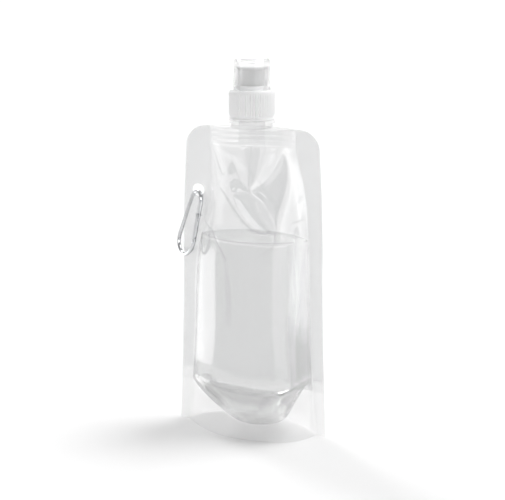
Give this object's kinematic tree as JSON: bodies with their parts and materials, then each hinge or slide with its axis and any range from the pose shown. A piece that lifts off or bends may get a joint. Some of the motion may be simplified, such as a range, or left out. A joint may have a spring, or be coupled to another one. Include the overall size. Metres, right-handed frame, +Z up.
{
  "type": "folding water bottle",
  "caption": "Clear stand-up film pouch with a bottom gusset, moulded spout, ribbed screw cap with push-pull nozzle and clear dust cap, and a spring-gate carabiner in a side hole.",
  "frame": {"origin": "on the floor, under the middle of the pouch and on the axis of the spout", "axes": "+Z up along the spout's axis, -Y out of the front film, +X to the right seen from the front"},
  "size_m": [0.1158, 0.0556, 0.27],
  "materials": {
    "film": "clear laminated film, gloss",
    "spout_plastic": "natural translucent polyethylene",
    "white_plastic": "white moulded polypropylene, satin",
    "nozzle_plastic": "soft white polyethylene",
    "clear_plastic": "clear polystyrene, gloss",
    "foam": "foamed polyethylene sealing disc",
    "carabiner_metal": "polished",
    "pin_steel": "plated steel"
  },
  "bodies": {
    "pouch": {"front_film": "film", "rear_film": "film", "bottom_gusset": "film", "spout_fitment": "spout_plastic"},
    "cap_thread": {"cap_liner": "foam"},
    "closure": {"screw_cap": "white_plastic"},
    "nozzle": {"push_pull_nozzle": "nozzle_plastic"},
    "dust_cap": {"dust_cap": "clear_plastic"},
    "carabiner": {"carabiner_body": "carabiner_metal", "gate_hinge_pin": "pin_steel"},
    "gate": {"carabiner_gate": "carabiner_metal", "gate_latch_pin": "pin_steel", "gate_spring": "pin_steel", "gate_plunger": "pin_steel"}
  },
  "joints": [
    {"name": "cap_lift", "type": "slide", "parent": "pouch", "child": "cap_thread", "axis": [0, 0, 1], "range_m": [0, 0.0063]},
    {"name": "cap_turn", "type": "hinge", "parent": "cap_thread", "child": "closure", "pos_m": [0, 0, 0.238], "axis": [0, 0, 1], "range_deg": [0, 542]},
    {"name": "nozzle_pull", "type": "slide", "parent": "closure", "child": "nozzle", "axis": [0, 0, 1], "range_m": [0, 0.0045]},
    {"name": "dust_cap_lift", "type": "slide", "parent": "nozzle", "child": "dust_cap", "axis": [0, 0, 1], "range_m": [0, 0.03]},
    {"name": "carabiner_swing", "type": "hinge", "parent": "pouch", "child": "carabiner", "pos_m": [-0.0409, 0, 0.1748], "axis": [0, 1, 0], "range_deg": [0, 110]},
    {"name": "gate_hinge", "type": "hinge", "parent": "carabiner", "child": "gate", "pos_m": [-0.04005, -0.01096, 0.14033], "axis": [-0.6066, -0.7583, 0.2389], "range_deg": [0, 20], "stiffness_Nm_per_rad": 0.02, "springref_deg": -17.19}
  ],
  "couplings": [
    {"joint": "cap_turn", "follows": "cap_lift", "rad_per_m": 1496}
  ]
}
